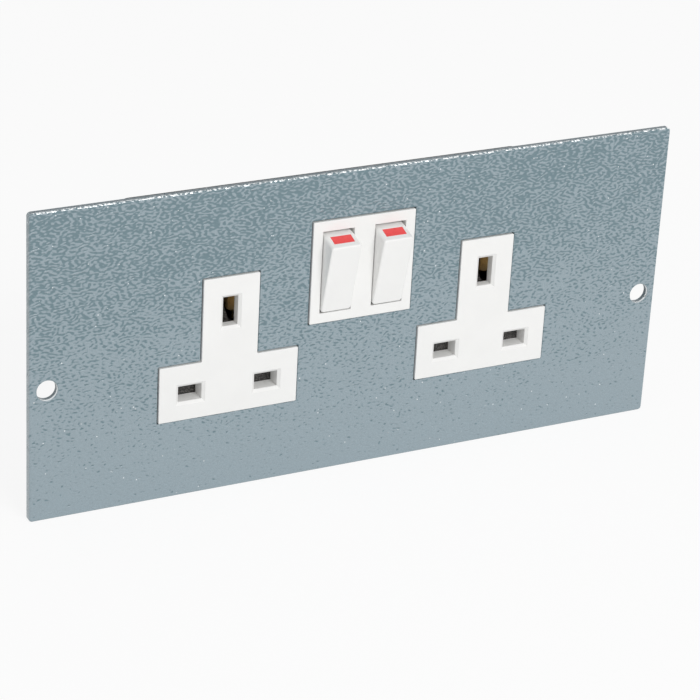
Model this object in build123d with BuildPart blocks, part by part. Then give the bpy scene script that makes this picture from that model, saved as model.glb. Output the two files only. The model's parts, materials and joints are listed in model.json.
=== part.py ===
from build123d import *
import os
from math import cos, radians, sin, sqrt

os.makedirs("parts", exist_ok=True)

# Twin 13 A switched socket module in a hammered steel plate, for a floor box.
# X runs along the plate, Z up it and Y into the floor box, all in millimetres.
# The origin is midway between the two fixing holes, on the plate's back face.

# Steel plate
plate_length = 190.0
plate_height = 88.0
plate_thickness = 2.0
plate_corner_radius = 1.0
plate_edge_radius = 0.5
plate_cut_radius = 0.25
fixing_inset = 5.0
fixing_hole_diameter = 5.8
fixing_drop = 6.0
window_gap = 0.3

# Where the sockets stand: the height of the live and neutral pins, and the spacings
socket_pitch = 77.0
pin_line_z = -7.6
pin_pitch = 22.2

# Raised faces round the pin slots and the switches
stem_width = 16.2
bar_width = 40.4
bar_height = 16.2
upstand_height = 40.0
upstand_below_pins = 7.55
upstand_proud = 0.4
upstand_corner_radius = 0.3
upstand_edge_radius = 0.2
frame_width = 30.5
frame_height = 29.7
frame_above_pins = 14.6

# Pin slots
power_slot_width = 6.85
power_slot_height = 4.55
earth_slot_width = 4.4
earth_slot_height = 8.46
slot_bevel_width = 0.8
slot_bevel_depth = 0.7
earth_slot_wall = 3.1
earth_pocket_margin = 2.0

# White front moulding and the tray that closes it
housing_length = 124.0
housing_height = 60.0
housing_rise = 17.6
housing_corner_radius = 4.0
housing_wall = 2.0
face_wall = 2.4
front_depth = 8.0
housing_depth = 24.0
tray_edge = 1.0
panel_depth = 0.7
panel_margin = 5.0
panel_corner_radius = 2.5
panel_split = 44.0
panel_rim = 1.5

# Housing screws
boss_radius = 3.3
boss_inset_x = 4.7
boss_inset_z = 4.7
housing_screw_diameter = 2.9
housing_screw_length = 16.5
housing_screw_head_diameter = 5.6
housing_screw_head_height = 1.8
housing_screw_head_edge = 0.6
counterbore_depth = 3.0
screw_clearance = 0.15
thread_clearance = 0.05
head_clearance = 0.4

# Lugs, weld studs, washers and nuts that hold the moulding to the plate
lug_reach = 14.0
lug_width = 12.0
lug_thickness = 3.0
lug_corner_radius = 3.0
stud_offset = 8.0
stud_inset_z = 12.5
stud_diameter = 4.0
stud_length = 9.5
stud_tip = 0.4
stud_hole_clearance = 0.3
washer_diameter = 9.0
washer_thickness = 0.8
nut_across_flats = 7.0
nut_height = 3.2

# Brass and the depths at which its strips lie
strip_thickness = 0.8
power_strip_y = 15.4
earth_strip_y = 19.6
clip_half_gap = 1.85
clip_half_root = 2.6
clip_half_mouth = 3.1
power_clip_width = 6.0
power_clip_front_y = 5.6
earth_clip_height = 7.4
earth_clip_rise = 1.3
earth_clip_front_y = 1.8
clip_bend_radius = 1.0
clip_grip = 2.4
power_clip_flare = 2.0
earth_clip_flare = 2.6
clip_corner_radius = 2.0

# Rocker
rocker_opening_width = 9.4
rocker_opening_height = 23.9
rocker_spacing = 15.5
rocker_side_gap = 0.22
rocker_tilt = 13.0
rocker_pivot_y = 0.0
rocker_face_reach = 5.5
rocker_half_length = 10.6
rocker_end_draft = 5.4
rocker_skirt_depth = 3.4
rocker_wall = 1.1
rocker_edge_radius = 0.5
rocker_corner_radius = 0.9
trunnion_radius = 1.5
trunnion_length = 1.0
trunnion_clearance = 0.05
trunnion_end_gap = 0.15
stem_radius = 2.9
stem_reach = 8.5
marker_width = 6.1
marker_length = 3.0
marker_depth = 0.5
marker_inset = 1.7
marker_gap = 0.03

# Plunger in the rocker's stem, and its spring
plunger_radius = 1.7
plunger_clearance = 0.1
plunger_tip_radius = 1.2
plunger_back = 4.0
plunger_shoulder = 8.8
plunger_reach = 12.0
plunger_bore_radius = 1.3
plunger_bore_depth = 3.0
stem_bore_start = -2.5
spring_wire = 0.3
plunger_spring_turns = 6

# Rocking contact that the plunger tips over
seesaw_tilt = 7.0
seesaw_gap = 0.3
seesaw_width = 5.0
seesaw_half_length = 9.5
seesaw_lift = 1.0
seesaw_middle_thickness = 0.8
seesaw_arm_thickness = 0.95
seesaw_dish = 0.55
seesaw_dish_half = 2.45
seesaw_bead_radius = 0.8
seesaw_bead_length = 7.4
saddle_clearance = 0.05
saddle_ear_thickness = 0.8
saddle_ear_outer = 3.6
saddle_ear_reach = 0.7
saddle_height = 4.5
tip_radius = 1.5
tip_height = 0.8
fixed_tip_height = 0.5
tip_edge = 0.15
tip_offset = 8.0

# Shutter that closes the power slots until the earth pin is in
shutter_gap = 0.2
shutter_thickness = 2.0
shutter_bar_height = 6.2
shutter_overhang = 0.5
shutter_travel = 5.4
shutter_arm_width = 5.2
shutter_arm_reach = 17.1
ramp_width = 3.0
ramp_start_y = 3.0
ramp_end_y = 9.5
ramp_lead = 0.4
ramp_root = 15.6
earth_pin_height = 8.0
guide_gap = 0.3
guide_thickness = 1.2
guide_length = 12.2
shutter_spring_radius = 1.1
shutter_spring_turns = 5
spring_end_gap = 0.05

# Terminals for the cable's three cores
terminal_pitch = 13.0
terminal_size = 8.0
terminal_below_pins = -0.1
terminal_bore_diameter = 4.6
terminal_screw_diameter = 3.0
terminal_head_diameter = 5.6
terminal_head_height = 2.0
terminal_head_edge = 0.4
terminal_slot_width = 0.8
terminal_slot_depth = 1.0
terminal_access_diameter = 6.6
cable_notch_width = 7.0
cable_notch_depth = 6.9
terminal_edge = 0.3
cross_length = 3.2
cross_width = 0.9
cross_depth = 1.0

# Posts and ribs in the tray, and the strips' widths
post_width = 5.0
keeper_offset = 6.25
keeper_thickness = 1.5
keeper_below_pins = 4.4
keeper_above_pins = 4.6
neutral_strip_gap = 1.0
neutral_strip_lift = 1.0
tab_width = 5.0
earth_arm_inset = 5.0
earth_step_start = 1.0
earth_step_rise = 3.0

# Strap that bonds the plate to the earth strip
strap_width = 7.0
strap_thickness = 0.6
strap_gap = 0.3
strap_stand_off = 2.8
strap_bend_radius = 1.2

# Places worked out from the sizes above
face_y = -plate_thickness - upstand_proud
plate_mid_z = fixing_drop
fixing_x = plate_length / 2 - fixing_inset
housing_mid_z = pin_line_z + housing_rise
housing_bottom_z = housing_mid_z - housing_height / 2
housing_floor_z = housing_bottom_z + housing_wall
tray_floor_y = housing_depth - housing_wall
frame_z = pin_line_z + frame_above_pins + frame_height / 2
earth_z = pin_line_z + pin_pitch
socket_places = {"left": -socket_pitch / 2, "right": socket_pitch / 2}
switch_places = {"left": -rocker_spacing / 2, "right": rocker_spacing / 2}
terminal_places = {"neutral": -terminal_pitch, "earth": 0.0, "live": terminal_pitch}
terminal_z = pin_line_z - terminal_below_pins
terminal_top_z = terminal_z + terminal_size / 2
boss_x = housing_length / 2 - boss_inset_x
boss_z = housing_height / 2 - boss_inset_z
stud_x = housing_length / 2 + stud_offset
boss_spots = [(x, housing_mid_z + z) for x in (-boss_x, boss_x) for z in (-boss_z, boss_z)]
stud_z = housing_height / 2 - stud_inset_z
stud_spots = [(x, housing_mid_z + z) for x in (-stud_x, stud_x) for z in (-stud_z, stud_z)]
strap_spot = (-stud_x, housing_mid_z + stud_z)
lug_tip_x = housing_length / 2 + lug_reach
lug_root_x = housing_length / 2 - housing_wall
seesaw_y = rocker_pivot_y + plunger_reach + seesaw_gap + seesaw_lift
strip_back_y = power_strip_y + strip_thickness
ear_front_y = seesaw_y - saddle_ear_reach
earth_clip_z = earth_z + earth_clip_rise
power_clip_places = [x + s * pin_pitch / 2 for x in socket_places.values() for s in (-1, 1)]
keeper_front_y = face_wall + shutter_gap + shutter_thickness + guide_gap
keeper_low_z = pin_line_z - keeper_below_pins
keeper_high_z = pin_line_z + keeper_above_pins
screw_seat_y = housing_depth - counterbore_depth
strap_front_y = earth_strip_y - strap_thickness
strap_drop_x = -housing_length / 2 - strap_stand_off
arm_x = earth_arm_inset - housing_length / 2
live_low_z = frame_z + tip_offset - tab_width / 2
terminal_low_z = terminal_z - terminal_size / 2
shutter_low_z = pin_line_z - shutter_bar_height / 2
plunger_seat = plunger_back + plunger_bore_depth
marker_middle = marker_inset + marker_length / 2
clip_outer_half = clip_half_mouth + strip_thickness
neutral_low_z = housing_floor_z + neutral_strip_lift
neutral_high_z = pin_line_z - clip_outer_half - neutral_strip_gap
ramp_low = pin_pitch - earth_pin_height / 2 - ramp_lead
ramp_high = pin_pitch - earth_pin_height / 2 + shutter_travel


def facing(y):
    """The plane at depth y that looks out of the front, with Z up on it."""
    return Plane.XZ.offset(-y)


def side(x, y=0.0, z=0.0, tilt=0.0):
    """The plane across X through a point: its own x runs rearwards, its y up."""
    back = (0, cos(radians(tilt)), sin(radians(tilt)))
    return Plane(origin=(x, y, z), x_dir=back, z_dir=(1, 0, 0))


def across(plane, reach):
    """The plane across a side plane's own x, a distance along it, facing rearwards."""
    return Plane(origin=plane.origin + plane.x_dir * reach, x_dir=(1, 0, 0), z_dir=plane.x_dir)


def rocker_end(pivot):
    """The plane of a rocker's top end face: its own x runs rearwards from the front edge."""
    slope = radians(rocker_end_draft)
    back, up = pivot.x_dir, pivot.y_dir
    corner = pivot.origin - back * rocker_face_reach + up * rocker_half_length
    outward = up * cos(slope) - back * sin(slope)
    return Plane(origin=corner, x_dir=back * cos(slope) + up * sin(slope), z_dir=outward)


def coil_spring(length, radius, turns):
    """A coil spring that stands on the XY plane, its wire square in section."""
    rise = length - spring_wire
    with BuildPart() as spring:
        with BuildLine():
            coil = Helix(rise / turns, rise, radius - spring_wire / 2, center=(0, 0, spring_wire / 2))
        with BuildSketch(Plane(origin=coil @ 0, x_dir=(1, 0, 0), z_dir=coil % 0)):
            Rectangle(spring_wire, spring_wire)
        sweep(path=coil, is_frenet=True)
    return spring.part


def bar(x0, x1, z0, z1):
    """A rectangle on a facing plane, from its limits in X and Z."""
    with Locations(((x0 + x1) / 2, (z0 + z1) / 2)):
        Rectangle(x1 - x0, z1 - z0)


def save(builder, name):
    """Label a finished piece and write its file."""
    builder.part.label = name
    export_step(builder.part, f"parts/{name}.step")


def upstand_outline(margin):
    """The inverted T round one socket's three slots, grown by a margin."""
    with BuildSketch() as outline:
        bottom = pin_line_z - upstand_below_pins
        with Locations((0, bottom + bar_height / 2)):
            Rectangle(bar_width + 2 * margin, bar_height + 2 * margin)
        with Locations((0, bottom + upstand_height / 2)):
            Rectangle(stem_width + 2 * margin, upstand_height + 2 * margin)
        fillet(outline.vertices(), upstand_corner_radius)
    return outline.sketch


def frame_outline(margin):
    """The outline of the raised frame round the two switches."""
    with BuildSketch() as outline:
        with Locations((0, frame_z)):
            RectangleRounded(frame_width + 2 * margin, frame_height + 2 * margin, upstand_corner_radius)
    return outline.sketch


raised_faces = [(upstand_outline(0), x) for x in socket_places.values()]
raised_faces.append((frame_outline(0), 0))
windows = [(upstand_outline(window_gap), x) for x in socket_places.values()]
windows.append((frame_outline(window_gap), 0))

# Each slot is its centre and its size
slots = []
for socket_x in socket_places.values():
    slots.append((socket_x - pin_pitch / 2, pin_line_z, power_slot_width, power_slot_height))
    slots.append((socket_x + pin_pitch / 2, pin_line_z, power_slot_width, power_slot_height))
    slots.append((socket_x, earth_z, earth_slot_width, earth_slot_height))

with BuildPart() as faceplate:
    with BuildSketch(facing(-plate_thickness)):
        with Locations((0, plate_mid_z)):
            RectangleRounded(plate_length, plate_height, plate_corner_radius)
    extrude(amount=-plate_thickness)
    fillet(faceplate.faces().sort_by(Axis.Y)[0].edges(), plate_edge_radius)
    with BuildSketch(facing(-plate_thickness)):
        for outline, x in windows:
            with Locations((x, 0)):
                add(outline)
        with Locations((-fixing_x, 0), (fixing_x, 0)):
            Circle(fixing_hole_diameter / 2)
    extrude(amount=-plate_thickness, mode=Mode.SUBTRACT)
    # The enamel rounds the punched edges
    cut_wires = faceplate.faces().sort_by(Axis.Y)[0].inner_wires()
    fillet([edge for wire in cut_wires for edge in wire.edges()], plate_cut_radius)
save(faceplate, "faceplate")

# The white moulding: a face slab and skirt behind the plate, with the raised faces in front
with BuildPart() as front_housing:
    with BuildSketch(facing(0)):
        with Locations((0, housing_mid_z)):
            RectangleRounded(housing_length, housing_height, housing_corner_radius)
    extrude(amount=-front_depth)
    with BuildSketch(facing(face_wall)):
        with Locations((0, housing_mid_z)):
            RectangleRounded(
                housing_length - 2 * housing_wall,
                housing_height - 2 * housing_wall,
                housing_corner_radius - housing_wall,
            )
    extrude(amount=face_wall - front_depth, mode=Mode.SUBTRACT)
    with BuildSketch(facing(0)):
        for outline, x in raised_faces:
            with Locations((x, 0)):
                add(outline)
    extrude(amount=-face_y)
    fillet(front_housing.faces().group_by(Axis.Y)[0].edges(), upstand_edge_radius)
    # The well round the rockers, the bosses and the seats of the terminals
    with BuildSketch(facing(face_wall)):
        with Locations((0, frame_z)):
            Rectangle(frame_width, frame_height)
        with Locations(*boss_spots):
            Circle(boss_radius)
    extrude(amount=face_wall - front_depth)
    with BuildSketch(facing(face_wall)):
        with Locations(*[(x, terminal_z) for x in terminal_places.values()]):
            Rectangle(terminal_size - housing_wall, terminal_size - housing_wall)
    extrude(amount=face_wall - (power_strip_y - terminal_size))
    # Ribs beside each shutter's arm, which also stop it at the top of its travel
    with BuildSketch(facing(face_wall)):
        rib_x = shutter_arm_width / 2 + guide_gap + guide_thickness / 2
        rib_z = pin_line_z + shutter_bar_height / 2 + guide_gap + guide_length / 2
        with Locations(*[(x + s * rib_x, rib_z) for x in socket_places.values() for s in (-1, 1)]):
            Rectangle(guide_thickness, guide_length)
    extrude(amount=-(shutter_gap + shutter_thickness + guide_gap))
    # Lugs for the plate's studs
    with BuildSketch(facing(0)):
        for x, z in stud_spots:
            outward = 1 if x > 0 else -1
            with Locations((outward * (lug_tip_x + lug_root_x) / 2, z)):
                RectangleRounded(lug_tip_x - lug_root_x, lug_width, lug_corner_radius)
            with Locations((outward * (lug_root_x + lug_corner_radius), z)):
                Rectangle(2 * lug_corner_radius, lug_width)
    extrude(amount=-lug_thickness)
    with BuildSketch(facing(0)):
        with Locations(*stud_spots):
            Circle(stud_diameter / 2 + stud_hole_clearance)
    extrude(amount=-lug_thickness, mode=Mode.SUBTRACT)
    # Pilot holes for the housing screws, stopped short of the face
    with BuildSketch(facing(face_wall)):
        with Locations(*boss_spots):
            Circle(housing_screw_diameter / 2 + thread_clearance)
    extrude(amount=face_wall - front_depth, mode=Mode.SUBTRACT)
    # Rocker wells through the moulding, and the slots that carry the trunnions
    with BuildSketch(facing(face_y)):
        with Locations(*[(x, frame_z) for x in switch_places.values()]):
            Rectangle(rocker_opening_width, rocker_opening_height)
    extrude(amount=face_y - front_depth, mode=Mode.SUBTRACT)
    for x in switch_places.values():
        slot_half = rocker_opening_width / 2 - rocker_side_gap + trunnion_length + trunnion_end_gap
        with BuildSketch(side(x, rocker_pivot_y, frame_z)):
            Circle(trunnion_radius + trunnion_clearance)
            with Locations(((front_depth - rocker_pivot_y) / 2, 0)):
                Rectangle(front_depth - rocker_pivot_y, 2 * (trunnion_radius + trunnion_clearance))
        extrude(amount=slot_half, both=True, mode=Mode.SUBTRACT)
    # Pin slots, with the shallow bevel round each and a pocket behind each earth slot
    for x, z, width, height in slots:
        with BuildSketch(facing(face_y)):
            with Locations((x, z)):
                Rectangle(width, height)
        extrude(amount=face_y - face_wall, mode=Mode.SUBTRACT)
    for x, z, width, height in slots:
        with BuildSketch(facing(face_y)):
            with Locations((x, z)):
                Rectangle(width + 2 * slot_bevel_width, height + 2 * slot_bevel_width)
        with BuildSketch(facing(face_y + slot_bevel_depth)):
            with Locations((x, z)):
                Rectangle(width, height)
        loft(mode=Mode.SUBTRACT)
    with BuildSketch(facing(face_y + earth_slot_wall)):
        with Locations(*[(x, earth_z) for x in socket_places.values()]):
            Rectangle(
                earth_slot_width + 2 * earth_pocket_margin,
                earth_slot_height + 2 * earth_pocket_margin,
            )
    extrude(amount=face_y + earth_slot_wall - face_wall, mode=Mode.SUBTRACT)
save(front_housing, "front_housing")

# The tray behind, with posts that back the brass, keeper ribs and openings for cable and screws
with BuildPart() as rear_housing:
    with BuildSketch(facing(front_depth)):
        with Locations((0, housing_mid_z)):
            RectangleRounded(housing_length, housing_height, housing_corner_radius)
    extrude(amount=front_depth - housing_depth)
    chamfer(rear_housing.faces().sort_by(Axis.Y)[-1].edges(), tray_edge)
    with BuildSketch(facing(front_depth)):
        with Locations((0, housing_mid_z)):
            RectangleRounded(
                housing_length - 2 * housing_wall,
                housing_height - 2 * housing_wall,
                housing_corner_radius - housing_wall,
            )
    extrude(amount=front_depth - tray_floor_y, mode=Mode.SUBTRACT)
    with BuildSketch(facing(front_depth)):
        with Locations(*boss_spots):
            Circle(boss_radius)
    extrude(amount=front_depth - tray_floor_y)
    with BuildSketch(facing(strip_back_y)):
        with Locations(*[(x, pin_line_z) for x in power_clip_places]):
            Rectangle(post_width, post_width)
        with Locations(*[(x, frame_z) for x in switch_places.values()]):
            Rectangle(post_width, saddle_height)
        with Locations(*[(x, frame_z + tip_offset) for x in switch_places.values()]):
            Circle(post_width / 2)
    extrude(amount=strip_back_y - tray_floor_y)
    with BuildSketch(facing(earth_strip_y + strip_thickness)):
        with Locations(*[(x, earth_clip_z) for x in socket_places.values()]):
            Rectangle(post_width, post_width)
    extrude(amount=earth_strip_y + strip_thickness - tray_floor_y)
    with BuildSketch(facing(keeper_front_y)):
        for x in socket_places.values():
            for s in (-keeper_offset, keeper_offset):
                bar(x + s - keeper_thickness / 2, x + s + keeper_thickness / 2, keeper_low_z, keeper_high_z)
    extrude(amount=keeper_front_y - tray_floor_y)
    # Shallow panels sunk in the back on each side of the terminals
    with BuildSketch(facing(housing_depth - panel_depth)):
        panel_width = (housing_length - panel_split) / 2 - panel_margin
        for s in (-1, 1):
            with Locations((s * (panel_split + panel_width) / 2, housing_mid_z)):
                RectangleRounded(panel_width, housing_height - 2 * panel_margin, panel_corner_radius)
        with Locations(*boss_spots):
            Circle(housing_screw_head_diameter / 2 + head_clearance + panel_rim, mode=Mode.SUBTRACT)
    extrude(amount=-panel_depth, mode=Mode.SUBTRACT)
    # Clearance holes and counterbores for the housing screws, and access to the terminal screws
    with BuildSketch(facing(front_depth)):
        with Locations(*boss_spots):
            Circle(housing_screw_diameter / 2 + screw_clearance)
    extrude(amount=front_depth - housing_depth, mode=Mode.SUBTRACT)
    with BuildSketch(facing(screw_seat_y)):
        with Locations(*boss_spots):
            Circle(housing_screw_head_diameter / 2 + head_clearance)
    extrude(amount=-counterbore_depth, mode=Mode.SUBTRACT)
    with BuildSketch(facing(tray_floor_y)):
        with Locations(*[(x, terminal_z) for x in terminal_places.values()]):
            Circle(terminal_access_diameter / 2)
    extrude(amount=-housing_wall, mode=Mode.SUBTRACT)
    # Notches in the lower wall for the cable's cores, and the slot for the earth strap
    with BuildSketch(facing(front_depth)):
        for x in terminal_places.values():
            bar(x - cable_notch_width / 2, x + cable_notch_width / 2, housing_bottom_z, housing_floor_z)
    extrude(amount=-cable_notch_depth, mode=Mode.SUBTRACT)
    with BuildSketch(facing(strap_front_y - strap_gap)):
        low, high = strap_spot[1] - strap_width / 2 - strap_gap, strap_spot[1] + strap_width / 2 + strap_gap
        bar(-housing_length / 2, housing_wall - housing_length / 2, low, high)
    extrude(amount=-(strap_thickness + 2 * strap_gap), mode=Mode.SUBTRACT)
save(rear_housing, "rear_housing")

with BuildPart() as housing_screws:
    for x, z in boss_spots:
        with BuildSketch(facing(screw_seat_y)):
            with Locations((x, z)):
                Circle(housing_screw_head_diameter / 2)
        extrude(amount=-housing_screw_head_height)
        with BuildSketch(facing(screw_seat_y)):
            with Locations((x, z)):
                Circle(housing_screw_diameter / 2)
        extrude(amount=housing_screw_length)
    heads = housing_screws.faces().group_by(Axis.Y)[-1]
    fillet(heads.edges(), housing_screw_head_edge)
    with BuildSketch(facing(screw_seat_y + housing_screw_head_height)):
        with Locations(*boss_spots):
            Rectangle(cross_length, cross_width)
            Rectangle(cross_width, cross_length)
    extrude(amount=cross_depth, mode=Mode.SUBTRACT)
save(housing_screws, "housing_screws")

# Studs welded to the plate, with the washers and nuts that clamp the moulding's lugs
with BuildPart() as plate_studs:
    with BuildSketch(facing(0)):
        with Locations(*stud_spots):
            Circle(stud_diameter / 2)
    extrude(amount=-stud_length)
    chamfer(plate_studs.edges().group_by(Axis.Y)[-1], stud_tip)
save(plate_studs, "plate_studs")

with BuildPart() as plate_washers:
    with BuildSketch(facing(lug_thickness)):
        with Locations(*stud_spots):
            Circle(washer_diameter / 2)
            Circle(stud_diameter / 2 + stud_hole_clearance, mode=Mode.SUBTRACT)
    extrude(amount=-washer_thickness)
save(plate_washers, "plate_washers")

washer_top_y = lug_thickness + washer_thickness
with BuildPart() as plate_nuts:
    for spot in stud_spots:
        seat_y = washer_top_y + (strap_thickness if spot == strap_spot else 0)
        with BuildSketch(facing(seat_y)):
            with Locations(spot):
                RegularPolygon(nut_across_flats / 2, 6, major_radius=False)
                Circle(stud_diameter / 2 + thread_clearance, mode=Mode.SUBTRACT)
        extrude(amount=-nut_height)
save(plate_nuts, "plate_nuts")


def clip_half(front, flare, back):
    """Half the bent outline of a clip, as depths and distances from its middle."""
    neck = front + flare + clip_grip
    return [
        (front, clip_half_mouth),
        (front + flare, clip_half_gap),
        (neck, clip_half_gap),
        (neck + flare, clip_half_root),
        (back, clip_half_root),
    ]


def make_clip(x, z):
    """A folded U of brass that grips one power pin from above and below."""
    upper = clip_half(power_clip_front_y, power_clip_flare, power_strip_y)
    lower = [(y, -reach) for y, reach in reversed(upper)]
    middle_y = (power_clip_front_y + strip_back_y) / 2
    with BuildPart() as clip:
        with BuildSketch(side(x, 0, z)):
            with BuildLine():
                FilletPolyline(*upper, *lower, radius=clip_bend_radius)
                offset(amount=strip_thickness, side=Side.LEFT)
            make_face()
        extrude(amount=power_clip_width / 2, both=True)
        with BuildSketch(Plane((x, middle_y, z))):
            leaf = Rectangle(power_clip_width, strip_back_y - power_clip_front_y)
            fillet(leaf.vertices().group_by(Axis.Y)[0], clip_corner_radius)
        extrude(amount=clip_outer_half, both=True, mode=Mode.INTERSECT)
    return clip.part


def make_earth_clip(x):
    """A folded U of brass that grips the earth pin from both sides."""
    right = clip_half(earth_clip_front_y, earth_clip_flare, earth_strip_y)
    left = [(-reach, y) for y, reach in right]
    right = [(reach, y) for y, reach in reversed(right)]
    earth_back_y = earth_strip_y + strip_thickness
    with BuildPart() as clip:
        with BuildSketch(Plane((x, 0, earth_clip_z))):
            with BuildLine():
                FilletPolyline(*left, *right, radius=clip_bend_radius)
                offset(amount=strip_thickness, side=Side.LEFT)
            make_face()
        extrude(amount=earth_clip_height / 2, both=True)
        with BuildSketch(side(x, (earth_clip_front_y + earth_back_y) / 2, earth_clip_z)):
            leaf = Rectangle(earth_back_y - earth_clip_front_y, earth_clip_height)
            fillet(leaf.vertices().group_by(Axis.X)[0], clip_corner_radius)
        extrude(amount=clip_outer_half, both=True, mode=Mode.INTERSECT)
    return clip.part


power_clips = {
    (name, pole): make_clip(x + s * pin_pitch / 2, pin_line_z)
    for name, x in socket_places.items()
    for pole, s in (("neutral", -1), ("live", 1))
}
earth_clips = [make_earth_clip(x) for x in socket_places.values()]

# Neutral: one strip along the bottom, a clip for each socket and a tab to the terminal
with BuildPart() as neutral_busbar:
    add(power_clips["left", "neutral"])
    add(power_clips["right", "neutral"])
    with BuildSketch(facing(power_strip_y)):
        left_x = socket_places["left"] - pin_pitch / 2
        right_x = socket_places["right"] - pin_pitch / 2
        half = power_clip_width / 2
        bar(left_x - half, right_x + half, neutral_low_z, neutral_high_z)
        for x in (left_x, right_x):
            bar(x - half, x + half, neutral_low_z, pin_line_z + clip_outer_half)
        tab_x = terminal_places["neutral"]
        bar(tab_x - tab_width / 2, tab_x + tab_width / 2, neutral_low_z, terminal_top_z)
        with Locations((tab_x, terminal_z)):
            Circle(terminal_screw_diameter / 2 + screw_clearance, mode=Mode.SUBTRACT)
    extrude(amount=-strip_thickness)
save(neutral_busbar, "neutral_busbar")

# Live: each socket's clip runs up and across to the fixed contact behind its switch
for name, sign in (("left", -1), ("right", 1)):
    clip_x = socket_places[name] + pin_pitch / 2
    half = power_clip_width / 2
    contact_x = switch_places[name]
    with BuildPart() as live_contact:
        add(power_clips[name, "live"])
        with BuildSketch(facing(power_strip_y)):
            bar(clip_x - half, clip_x + half, pin_line_z - clip_outer_half, live_low_z + tab_width)
            inner_x = contact_x - sign * tab_width / 2
            low_x, high_x = sorted((clip_x + sign * half, inner_x))
            bar(low_x, high_x, live_low_z, live_low_z + tab_width)
        extrude(amount=-strip_thickness)
    save(live_contact, f"{name}_live_contact")
    with BuildPart() as fixed_tip:
        with BuildSketch(facing(power_strip_y)):
            with Locations((contact_x, frame_z + tip_offset)):
                Circle(tip_radius)
        extrude(amount=fixed_tip_height)
        chamfer(fixed_tip.edges().group_by(Axis.Y)[0], tip_edge)
    save(fixed_tip, f"{name}_fixed_tip")

# The saddle feeds both rocking contacts from the live terminal
with BuildPart() as live_busbar:
    with BuildSketch(facing(power_strip_y)):
        reach = rocker_spacing / 2 + saddle_ear_outer
        feed_x = terminal_places["live"]
        bar(-reach, feed_x + tab_width / 2, frame_z - saddle_height / 2, frame_z + saddle_height / 2)
        bar(feed_x - tab_width / 2, feed_x + tab_width / 2, terminal_low_z, frame_z)
        with Locations((feed_x, terminal_z)):
            Circle(terminal_screw_diameter / 2 + screw_clearance, mode=Mode.SUBTRACT)
    extrude(amount=-strip_thickness)
    notch_radius = seesaw_bead_radius + saddle_clearance
    for x in switch_places.values():
        for s in (-1, 1):
            with BuildSketch(side(x + s * (saddle_ear_outer - saddle_ear_thickness / 2))):
                with Locations(((ear_front_y + power_strip_y) / 2, frame_z)):
                    Rectangle(power_strip_y - ear_front_y, saddle_height)
                with Locations((seesaw_y, frame_z)):
                    Circle(notch_radius, mode=Mode.SUBTRACT)
                with Locations(((ear_front_y + seesaw_y) / 2, frame_z)):
                    Rectangle(seesaw_y - ear_front_y, 2 * notch_radius, mode=Mode.SUBTRACT)
            extrude(amount=saddle_ear_thickness / 2, both=True)
save(live_busbar, "live_busbar")

# Earth: a strip behind the rest, stepped forward to its terminal and raised to meet the strap
with BuildPart() as earth_busbar:
    for clip in earth_clips:
        add(clip)
    with BuildSketch(facing(earth_strip_y)):
        right_x = socket_places["right"] + clip_half_root + strip_thickness
        low_z, high_z = earth_clip_z - earth_clip_height / 2, earth_clip_z + earth_clip_height / 2
        bar(arm_x, right_x, low_z, low_z + tab_width)
        bar(arm_x, arm_x + strap_width, low_z, strap_spot[1] + strap_width / 2)
    extrude(amount=-strip_thickness)
    with BuildSketch(side(terminal_places["earth"])):
        with BuildLine():
            FilletPolyline(
                (earth_strip_y, low_z + tab_width / 2),
                (earth_strip_y, terminal_top_z + earth_step_start + earth_step_rise),
                (power_strip_y, terminal_top_z + earth_step_start),
                (power_strip_y, terminal_low_z),
                radius=clip_bend_radius,
            )
            offset(amount=strip_thickness, side=Side.LEFT)
        make_face()
    extrude(amount=tab_width / 2, both=True)
    with BuildSketch(facing(power_strip_y)):
        with Locations((terminal_places["earth"], terminal_z)):
            Circle(terminal_screw_diameter / 2 + screw_clearance)
    extrude(amount=-strip_thickness, mode=Mode.SUBTRACT)
save(earth_busbar, "earth_busbar")

# The strap bonds the plate: from the earth strip, out through the tray's wall, to a stud
with BuildPart() as earth_strap:
    with BuildSketch(Plane((0, 0, strap_spot[1]))):
        with BuildLine():
            FilletPolyline(
                (arm_x + strap_width, strap_front_y + strap_thickness),
                (strap_drop_x, strap_front_y + strap_thickness),
                (strap_drop_x, washer_top_y + strap_thickness),
                (strap_spot[0] - strap_width / 2, washer_top_y + strap_thickness),
                radius=strap_bend_radius,
            )
            offset(amount=strap_thickness, side=Side.LEFT)
        make_face()
    extrude(amount=strap_width / 2, both=True)
    with BuildSketch(facing(washer_top_y)):
        with Locations(strap_spot):
            Circle(stud_diameter / 2 + stud_hole_clearance)
    extrude(amount=-strap_thickness, mode=Mode.SUBTRACT)
save(earth_strap, "earth_strap")

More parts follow.
